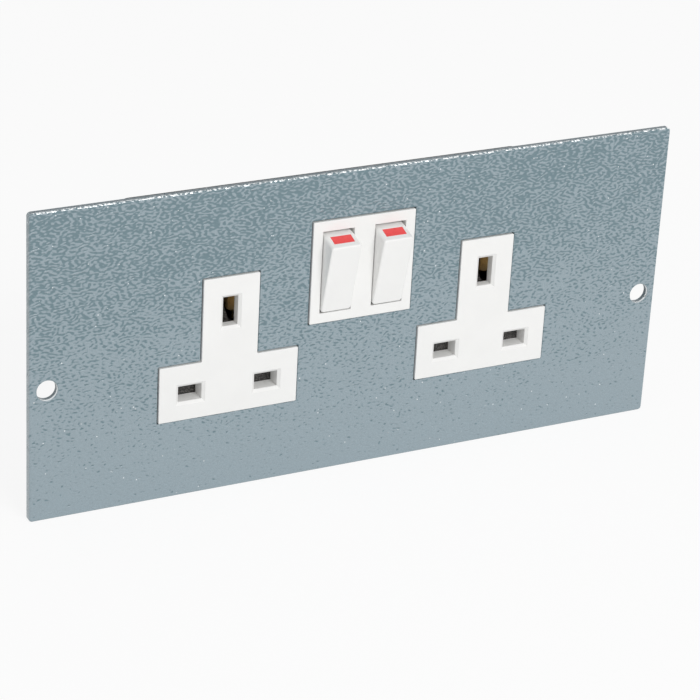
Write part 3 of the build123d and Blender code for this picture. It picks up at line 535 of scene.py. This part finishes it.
def rolled_metal(name, rgb, tarnish, grain_axis=0, rough=0.3, streak=14.0):
    """Strip metal with rolling lines along one axis, and tarnish in soft patches."""
    finish = Finish(name, {"Metallic": 1.0})
    stretch = [1.0, 1.0, 1.0]
    stretch[grain_axis] = streak
    lines = finish.noise(finish.point(stretch), scale=6.0, detail=3.0, roughness=0.65)
    patches = finish.noise(finish.point(), scale=0.28, detail=4.0, roughness=0.6)
    dull = finish.step(patches, 0.36, 0.72)
    bright = finish.mix(lines, shade(rgb, 0.86), shade(rgb, 1.1))
    finish.feed("Base Color", finish.mix(dull * 0.75, bright, tarnish))
    finish.feed("Roughness", rough + dull * 0.16 + lines.swing(0.14))
    finish.bump(lines, 0.008 * MM)
    return finish.material


def plated_metal(name, rgb, cast, rough=0.3):
    """Plating over steel or copper: fine spangle, a faint cast and handling marks."""
    finish = Finish(name, {"Metallic": 1.0})
    point = finish.point()
    spangle = finish.cells(point, scale=2.6)
    cloud = finish.noise(point, scale=0.5, detail=3.0)
    marks = finish.noise(finish.point(stretch=(6, 1, 1)), scale=4.0, detail=3.0, roughness=0.7)
    plate = finish.mix(finish.step(cloud, 0.35, 0.68), rgb, cast)
    finish.feed("Base Color", finish.mix(spangle * 0.3, plate, shade(rgb, 1.25)))
    finish.feed("Roughness", rough + marks.swing(0.22) + cloud * 0.08)
    finish.bump(marks + spangle * 0.3, 0.008 * MM)
    return finish.material


def dress(finish, *nodes):
    """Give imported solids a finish."""
    for name in nodes:
        mesh = frame["nodes"][name].data
        mesh.materials.clear()
        mesh.materials.append(finish)


def both(piece):
    """The left and the right node of a piece."""
    return [f"{side}_{piece}" for side in SIDES]


def active():
    """The object that operators work on."""
    return bpy.context.view_layer.objects.active


def start(*pieces):
    """Leave edit mode and select only these pieces, the first one active."""
    if active() and active().mode != "OBJECT":
        bpy.ops.object.mode_set(mode="OBJECT")
    bpy.ops.object.select_all(action="DESELECT")
    for piece in reversed(pieces):
        piece.select_set(True)
        bpy.context.view_layer.objects.active = piece


def edit(kind="FACE"):
    """Enter edit mode with nothing selected."""
    bpy.ops.object.mode_set(mode="EDIT")
    bpy.ops.mesh.select_mode(type=kind)
    bpy.ops.mesh.select_all(action="DESELECT")


def pick_end(piece, height):
    """In edit mode, select the flat end at a height."""
    edit()
    bpy.ops.object.mode_set(mode="OBJECT")
    for face in piece.data.polygons:
        level = abs(face.center.z - height) < SAME_HEIGHT
        face.select = level and abs(face.normal.z) > UPRIGHT
    bpy.ops.object.mode_set(mode="EDIT")


def apply(piece, kind, **settings):
    """Add a modifier with its settings and apply it."""
    modifier = piece.modifiers.new(kind.lower(), kind)
    for name, value in settings.items():
        setattr(modifier, name, value)
    bpy.ops.object.modifier_apply(modifier=modifier.name)


def turn_about_z(piece, turn):
    """Turn a piece about the Z axis and keep the turn in its mesh."""
    piece.rotation_euler.z = turn
    start(piece)
    bpy.ops.object.transform_apply()


def cylinder(radius, low, high, sides=HEAD_SIDES):
    """A closed cylinder up the Z axis between two heights."""
    start()
    bpy.ops.mesh.primitive_cylinder_add(
        vertices=sides, radius=radius, depth=high - low, location=(0, 0, (low + high) / 2)
    )
    bpy.ops.object.transform_apply()
    return active()


def round_end(piece, height, size, segments=1):
    """Bevel the rim of the flat end at a height."""
    pick_end(piece, height)
    bpy.ops.mesh.bevel(offset=size, segments=segments, affect="EDGES")
    bpy.ops.object.mode_set(mode="OBJECT")


def draw_out(piece, height, rise, share):
    """Extrude the flat end at a height by a rise, and scale it about the axis by a share."""
    pick_end(piece, height)
    bpy.ops.mesh.extrude_region_move(TRANSFORM_OT_translate={"value": (0, 0, rise)})
    bpy.ops.transform.resize(value=(share, share, 1), center_override=(0, 0, height + rise))
    bpy.ops.object.mode_set(mode="OBJECT")


def join(first, *others):
    """Join pieces into the first and turn all their faces outwards."""
    start(first, *others)
    if others:
        bpy.ops.object.join()
    edit()
    bpy.ops.mesh.select_all(action="SELECT")
    bpy.ops.mesh.normals_make_consistent(inside=False)
    bpy.ops.object.mode_set(mode="OBJECT")
    return first


def carve(piece, tool, operation="DIFFERENCE"):
    """Combine a closed piece with a closed tool, which goes."""
    start(piece)
    apply(piece, "BOOLEAN", operation=operation, solver="EXACT", object=tool)
    bpy.data.objects.remove(tool)


def bar(size, middle, taper=1.0):
    """A closed bar whose lower end is narrowed along X."""
    start()
    bpy.ops.mesh.primitive_cube_add(size=1, location=middle, scale=size)
    bpy.ops.object.transform_apply()
    made = active()
    low = middle[2] - size[2] / 2
    pick_end(made, low)
    bpy.ops.transform.resize(value=(taper, 1, 1), center_override=(middle[0], middle[1], low))
    bpy.ops.object.mode_set(mode="OBJECT")
    return made


def helix(radius, section, pitch, turns, low, sides=WIRE_SIDES, squeeze=1.0):
    """An open helical tube up the Z axis that starts at a height."""
    start()
    bpy.ops.mesh.primitive_circle_add(
        vertices=sides, radius=section, rotation=(math.pi / 2, 0, 0)
    )
    bpy.ops.object.transform_apply()
    tube = active()
    edit("VERT")
    bpy.ops.mesh.select_all(action="SELECT")
    bpy.ops.transform.resize(value=(1, 1, squeeze))
    bpy.ops.transform.translate(value=(radius, 0, low))
    bpy.ops.object.mode_set(mode="OBJECT")
    apply(
        tube, "SCREW", axis="Z", screw_offset=pitch, iterations=turns,
        steps=STEPS_PER_TURN, render_steps=STEPS_PER_TURN,
    )
    return tube


def close_ends(piece):
    """Merge what touches and close the open ends."""
    start(piece)
    edit("EDGE")
    bpy.ops.mesh.select_all(action="SELECT")
    bpy.ops.mesh.remove_doubles(threshold=SAME_CORNER)
    bpy.ops.mesh.select_all(action="DESELECT")
    bpy.ops.mesh.select_non_manifold()
    bpy.ops.mesh.fill_holes(sides=0)
    bpy.ops.object.mode_set(mode="OBJECT")


def thread_rib(radius, depth, pitch, low, high):
    """The rib of a thread with that outer radius, between two heights."""
    turns = int((high - low) / pitch - 1)
    squeeze = RIB_SHARE * pitch / depth
    ridge = helix(radius - depth, depth, pitch, turns, low + pitch / 2, RIB_SIDES, squeeze)
    close_ends(ridge)
    return ridge


def spring(radius, wire, turns, height):
    """A compression spring that stands on the origin, with one closed turn at each end."""
    path = radius - wire / 2
    closed = wire * CLOSED_TURN
    pitch = (height - wire - 2 * closed) / turns
    foot = helix(path, wire / 2, closed, 1, wire / 2)
    body = helix(path, wire / 2, pitch, turns, wire / 2 + closed)
    crown = helix(path, wire / 2, closed, 1, height - wire / 2 - closed)
    start(foot, body, crown)
    bpy.ops.object.join()
    close_ends(foot)
    return join(foot)


def settle(piece, spots, turn_x=0.0):
    """Stand copies of a piece at several spots, each with its own mesh, and join them."""
    copies = []
    for spot in spots:
        start(piece)
        bpy.ops.object.duplicate()
        active().location = spot
        active().rotation_euler = (turn_x, 0, 0)
        bpy.ops.object.transform_apply()
        copies.append(active())
    bpy.data.objects.remove(piece)
    return join(*copies)


def deliver(piece, name, finish, slot, body, *replaced):
    """Name a finished piece, give it its finish, hide the solids that it replaces and hang it on
    its body's empty.
    """
    start(piece)
    bpy.ops.object.shade_smooth_by_angle(angle=SMOOTH_BELOW)
    piece.name = name
    piece.data.name = name
    piece.data.materials.clear()
    piece.data.materials.append(finish)
    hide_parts(*replaced)
    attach(piece, body)


def corner_spots(node, inset, depth):
    """The four spots inside the corners of a node's box, at a depth behind the plate's back."""
    low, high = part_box(node)
    across, up = (low.x + inset, high.x - inset), (low.z + inset, high.z - inset)
    return [(x, depth, z) for x in across for z in up]


class SOCKET_OT_faceplate(bpy.types.Operator):
    """Enamel the plate"""

    bl_idname = "socket.faceplate"
    bl_label = "Faceplate"

    def execute(self, context):
        dress(hammered_enamel(context.scene.socket_enamel), "faceplate")
        return {"FINISHED"}


class SOCKET_OT_mouldings(bpy.types.Operator):
    """Finish the front moulding, the tray and the shutters"""

    bl_idname = "socket.mouldings"
    bl_label = "Mouldings and shutters"

    def execute(self, context):
        s = context.scene.socket_plastic
        dress(moulded_plastic("satin_white", s.moulding, rough=0.40), "front_housing")
        dress(spark_eroded_plastic("black_tray", s.tray), "rear_housing")
        dress(spark_eroded_plastic("grey_shutter", s.shutter, contrast=5.0), *both("shutter"))
        return {"FINISHED"}


class SOCKET_OT_switches(bpy.types.Operator):
    """Finish the rockers, their red flashes and their plungers"""

    bl_idname = "socket.switches"
    bl_label = "Switches"

    def execute(self, context):
        s = context.scene.socket_plastic
        dress(moulded_plastic("rocker_white", s.rocker, rough=0.34), *both("rocker"))
        dress(gloss_flash("red_flash", s.marker), *both("on_marker"))
        nylon = moulded_plastic("natural_nylon", s.plunger, rough=0.46, grain=0.006, mottle=0.05)
        dress(nylon, *both("plunger"))
        return {"FINISHED"}


class SOCKET_OT_contacts(bpy.types.Operator):
    """Finish the brass strips and clips, the terminal blocks, the strap, tips and washers"""

    bl_idname = "socket.contacts"
    bl_label = "Contacts and terminals"

    def execute(self, context):
        s = context.scene.socket_metal
        strip = rolled_metal("strip_brass", s.brass, s.brass_tarnish, rough=0.4)
        dress(strip, "neutral_busbar", "live_busbar", "earth_busbar")
        block = rolled_metal(
            "terminal_brass", s.terminal, s.terminal_tarnish, grain_axis=2, rough=0.24
        )
        dress(block, *[f"{pole}_terminal_block" for pole in POLES])
        strap = rolled_metal("strap_copper", s.copper, s.copper_tarnish, streak=9.0)
        dress(strap, "earth_strap")
        silver = plated_metal("contact_silver", s.silver, s.silver_cast, rough=0.22)
        dress(strip, *both("live_contact"), *both("rocking_contact"))
        dress(silver, *both("fixed_tip"), *both("moving_tip"))
        dress(plated_metal("zinc_washer", s.zinc, s.washer_cast), "plate_washers")
        return {"FINISHED"}


class SOCKET_OT_studs(bpy.types.Operator):
    """Model the threaded weld studs on the plate's back"""

    bl_idname = "socket.studs"
    bl_label = "Weld studs"

    def execute(self, context):
        s, metal = context.scene.socket_hardware, context.scene.socket_metal
        low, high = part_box("plate_studs")
        height = high.y - low.y
        core = cylinder(s.stud_radius - s.stud_thread, 0, height, CORE_SIDES)
        round_end(core, height, s.stud_thread)
        flash = cylinder(s.weld_radius, 0, s.weld_height, CORE_SIDES)
        round_end(flash, s.weld_height, s.weld_round, segments=3)
        ridge = thread_rib(s.stud_radius, s.stud_thread, s.stud_pitch, s.weld_height, height)
        stud = join(core, flash, ridge)
        finish = plated_metal("zinc_stud", metal.zinc, metal.stud_cast, rough=0.34)
        studs = settle(stud, corner_spots("plate_studs", s.stud_radius, low.y), REARWARDS)
        deliver(studs, "threaded_studs", finish, "zinc_steel", "module", "plate_studs")
        return {"FINISHED"}


class SOCKET_OT_nuts(bpy.types.Operator):
    """Model the bevelled nuts on the studs"""

    bl_idname = "socket.nuts"
    bl_label = "Nuts"

    def execute(self, context):
        s, metal = context.scene.socket_hardware, context.scene.socket_metal
        corner = s.nut_flats / 2 / math.cos(HALF_FLAT)
        nut = cylinder(corner, 0, s.nut_height, sides=6)
        start(nut)
        edit()
        bpy.ops.mesh.select_all(action="SELECT")
        bpy.ops.transform.rotate(value=HALF_FLAT, orient_axis="Z", center_override=(0, 0, 0))
        bpy.ops.object.mode_set(mode="OBJECT")
        turned = cylinder(corner, s.nut_bevel, s.nut_height - s.nut_bevel)
        share = s.nut_flats / 2 / corner
        draw_out(turned, s.nut_height - s.nut_bevel, s.nut_bevel, share)
        draw_out(turned, s.nut_bevel, -s.nut_bevel, share)
        carve(nut, turned, "INTERSECT")
        carve(nut, cylinder(s.stud_radius, -s.nut_height, 2 * s.nut_height, CORE_SIDES))
        low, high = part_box("plate_nuts")
        strap_low, strap_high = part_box("earth_strap")
        spots = []
        for x, y, z in corner_spots("plate_studs", s.stud_radius, low.y):
            on_strap = strap_low.x < x < strap_high.x and strap_low.z < z < strap_high.z
            spots.append((x, high.y - s.nut_height if on_strap else y, z))
        finish = plated_metal("zinc_nut", metal.zinc, metal.nut_cast)
        nuts = settle(nut, spots, REARWARDS)
        deliver(nuts, "bevelled_nuts", finish, "zinc_steel", "module", "plate_nuts")
        return {"FINISHED"}


class SOCKET_OT_housing_screws(bpy.types.Operator):
    """Model the four pan-head screws that hold the tray to the front moulding"""

    bl_idname = "socket.housing_screws"
    bl_label = "Housing screws"

    def execute(self, context):
        s, metal = context.scene.socket_hardware, context.scene.socket_metal
        low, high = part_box("housing_screws")
        height = high.y - low.y
        seat = height - s.head_height
        head = cylinder(s.head_radius, seat, height)
        round_end(head, height, s.head_round, segments=5)
        for turn in (0, math.pi / 2):
            size = (s.cross_span, s.cross_width, s.cross_depth * 2)
            arm = bar(size, (0, 0, height), s.cross_taper)
            turn_about_z(arm, turn)
            carve(head, arm)
        shank = cylinder(s.shank_radius - s.shank_thread, s.shank_radius, seat, CORE_SIDES)
        draw_out(shank, s.shank_radius, -s.shank_radius, s.shank_point)
        ridge = thread_rib(s.shank_radius, s.shank_thread, s.shank_pitch, s.shank_radius, seat)
        screw = join(head, shank, ridge)
        finish = plated_metal("zinc_screw", metal.zinc, metal.screw_cast, rough=0.26)
        screws = settle(screw, corner_spots("housing_screws", s.head_radius, low.y), REARWARDS)
        deliver(screws, "pan_head_screws", finish, "zinc_steel", "module", "housing_screws")
        return {"FINISHED"}


class SOCKET_OT_terminal_screws(bpy.types.Operator):
    """Model the slotted clamping screw of each terminal"""

    bl_idname = "socket.terminal_screws"
    bl_label = "Terminal screws"

    def execute(self, context):
        s, metal = context.scene.socket_hardware, context.scene.socket_metal
        finish = plated_metal("zinc_clamp", metal.zinc, metal.clamp_cast, rough=0.24)
        for turn, pole in enumerate(POLES):
            node = f"{pole}_terminal_screw"
            low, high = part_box(node)
            height = high.y - low.y
            seat = height - s.clamp_head
            head = cylinder(s.clamp_radius, seat, height)
            round_end(head, height, s.slot_width / 2, segments=3)
            size = (s.clamp_radius * 3, s.slot_width, s.slot_depth * 2)
            carve(head, bar(size, (0, 0, height)))
            shank = cylinder(s.clamp_shank - s.clamp_thread, 0, seat, CORE_SIDES)
            round_end(shank, 0, s.clamp_thread)
            ridge = thread_rib(s.clamp_shank, s.clamp_thread, s.clamp_pitch, 0, seat)
            screw = join(head, shank, ridge)
            turn_about_z(screw, s.clamp_turn + s.clamp_next * turn)
            middle = (low + high) / 2
            screw = settle(screw, [(middle.x, low.y, middle.z)], REARWARDS)
            deliver(screw, f"{pole}_slotted_screw", finish, "zinc_steel", "module", node)
        return {"FINISHED"}


class SOCKET_OT_springs(bpy.types.Operator):
    """Wind the springs of the shutters and of the plungers"""

    bl_idname = "socket.springs"
    bl_label = "Springs"

    def execute(self, context):
        s, metal = context.scene.socket_hardware, context.scene.socket_metal
        wire = plated_metal("spring_wire", metal.spring, metal.spring_cast, rough=0.28)
        joints = {joint["name"]: joint for joint in frame["joints"]}
        for side in SIDES:
            self.wind_shutter_spring(s, side, wire, joints[f"{side}_shutter_slide"])
            self.wind_plunger_spring(s, side, wire, joints[f"{side}_plunger_slide"])
        return {"FINISHED"}

    def wind_shutter_spring(self, s, side, wire, slide):
        """Stand a spring under a shutter; it is squashed down onto its foot."""
        node = f"{side}_shutter_spring"
        low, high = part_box(node)
        middle, height = (low + high) / 2, high.z - low.z
        foot = Vector((middle.x, middle.y, low.z))
        coil = settle(spring((high.x - low.x) / 2, s.wire, s.shutter_turns, height), [foot])
        deliver(coil, f"{side}_shutter_coil", wire, "spring_steel", "module", node)
        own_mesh(coil)

    def wind_plunger_spring(self, s, side, wire, slide):
        """Lay a spring along a rocker's stem; it is squashed by the plunger."""
        node = f"{side}_plunger_spring"
        low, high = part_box(node)
        along = -Vector(slide["axis"]).normalized()
        foot = (low + high) / 2 - along * s.plunger_reach / 2
        coil = spring(s.plunger_radius, s.wire, s.plunger_turns, s.plunger_reach)
        coil = settle(coil, [foot], -math.acos(along.z))
        deliver(coil, f"{side}_plunger_coil", wire, "spring_steel", f"{side}_switch", node)
        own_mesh(coil)


class SOCKET_OT_studio(bpy.types.Operator):
    """Set up the pale floor, the light from all round, the soft lamp and the camera"""

    bl_idname = "socket.studio"
    bl_label = "Studio"

    def execute(self, context):
        s = context.scene.socket_studio
        start()
        bpy.ops.mesh.primitive_plane_add(size=s.floor_size, location=(0, 0, CAD_LOW.z))
        bpy.ops.object.transform_apply()
        floor = active()
        floor.name = "pale_floor"
        floor.data.materials.append(self.floor_finish(s))
        self.light_world(context, s)
        self.hang_lamp(s)
        start()
        bpy.ops.object.camera_add(location=s.camera_place, rotation=s.camera_turn)
        camera = active()
        camera.data.lens = s.lens
        camera.data.clip_start = s.near
        context.scene.camera = camera
        context.scene.view_settings.view_transform = "Standard"
        return {"FINISHED"}

    def floor_finish(self, s):
        """A white floor that keeps a share of the shadows."""
        finish = Finish("pale_floor", {"Roughness": 0.9, "Specular IOR Level": 0.0})
        tone = finish.noise(finish.point(), scale=0.004)
        ends = [shade(s.floor, 1 + mottle) for mottle in (-FLOOR_MOTTLE, FLOOR_MOTTLE)]
        finish.feed("Base Color", finish.mix(tone, *ends))
        lit = Signal(finish, finish.shader.outputs[0])
        glow = finish.node("ShaderNodeEmission", None, {"Color": WHITE, "Strength": 1.0})
        sockets = {0: finish.direct_rays() * s.glow, 1: lit, 2: glow}
        finish.surface(finish.node("ShaderNodeMixShader", None, sockets))
        return finish.material

    def light_world(self, context, s):
        """Dim light from all round, behind a background that is seen as white."""
        world = bpy.data.worlds.new("studio")
        context.scene.world = world
        sky = Finish("studio", {}, world)
        dim = sky.node("ShaderNodeBackground", None, {"Color": WHITE, "Strength": s.sky})
        white = sky.node("ShaderNodeBackground", None, {"Color": WHITE, "Strength": 1.0})
        sockets = {0: sky.direct_rays(), 1: dim, 2: white}
        sky.surface(sky.node("ShaderNodeMixShader", None, sockets))

    def hang_lamp(self, s):
        """A rectangular soft lamp that faces the middle of the plate."""
        start()
        aim = (-Vector(s.key_place)).to_track_quat("-Z", "Y").to_euler()
        bpy.ops.object.light_add(type="AREA", location=s.key_place, rotation=aim)
        lamp = active()
        lamp.name = "key_lamp"
        lamp.data.shape = "RECTANGLE"
        lamp.data.size = s.key_width
        lamp.data.size_y = s.key_depth
        lamp.data.energy = s.key


SETTINGS = {
    "socket_enamel": EnamelSettings,
    "socket_plastic": PlasticSettings,
    "socket_metal": MetalSettings,
    "socket_hardware": HardwareSettings,
    "socket_studio": StudioSettings,
}
OPERATORS = (
    SOCKET_OT_faceplate,
    SOCKET_OT_mouldings,
    SOCKET_OT_switches,
    SOCKET_OT_contacts,
    SOCKET_OT_studs,
    SOCKET_OT_nuts,
    SOCKET_OT_housing_screws,
    SOCKET_OT_terminal_screws,
    SOCKET_OT_springs,
    SOCKET_OT_studio,
)


class SOCKET_PT_pieces(bpy.types.Panel):
    """The module's pieces and their settings"""

    bl_label = "Floor box socket"
    bl_space_type = "VIEW_3D"
    bl_region_type = "UI"
    bl_category = "Socket"

    def draw(self, context):
        for operator in OPERATORS:
            self.layout.operator(operator.bl_idname)
        for group, kind in SETTINGS.items():
            box = self.layout.box()
            for name in kind.__annotations__:
                box.prop(getattr(context.scene, group), name)


CLASSES = (*SETTINGS.values(), *OPERATORS, SOCKET_PT_pieces)


def register():
    """Register the classes and hang the settings on the scene."""
    for kind in CLASSES:
        bpy.utils.register_class(kind)
    for group, kind in SETTINGS.items():
        setattr(bpy.types.Scene, group, PointerProperty(type=kind))


def unregister():
    """Take the settings off the scene and the classes out again."""
    for group in SETTINGS:
        delattr(bpy.types.Scene, group)
    for kind in reversed(CLASSES):
        bpy.utils.unregister_class(kind)


def main():
    """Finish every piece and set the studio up."""
    register()
    bpy.ops.socket.faceplate()
    bpy.ops.socket.mouldings()
    bpy.ops.socket.switches()
    bpy.ops.socket.contacts()
    bpy.ops.socket.studs()
    bpy.ops.socket.nuts()
    bpy.ops.socket.housing_screws()
    bpy.ops.socket.terminal_screws()
    bpy.ops.socket.springs()
    bpy.ops.socket.studio()


if __name__ == "__main__":
    main()
